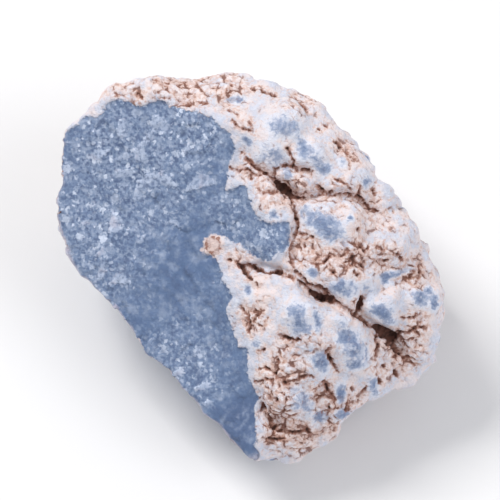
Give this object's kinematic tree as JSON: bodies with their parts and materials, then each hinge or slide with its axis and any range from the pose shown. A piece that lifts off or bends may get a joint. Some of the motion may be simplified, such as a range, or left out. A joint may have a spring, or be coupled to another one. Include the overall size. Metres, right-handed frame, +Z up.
{
  "type": "rough angelite",
  "caption": "Rough lump of pale blue angelite with a fresh broken blue face, a lumpy cracked white and rust rind over the rest, and a flat broken underside to lie on.",
  "frame": {"origin": "centre of the bounding box's bottom, on the surface that the stone lies on", "axes": "+Z up; the stone lies on its flat broken underside, with its fresh blue face to -X and its rind to +X; -Y is the side that the camera looks from"},
  "size_m": [0.0678, 0.0684, 0.0448],
  "materials": {
    "stone": "rough natural stone: sugary pale blue on the breaks, chalky white with rust in the cracks on the rind"
  },
  "bodies": {
    "root": {"angelite": "stone"}
  },
  "joints": []
}
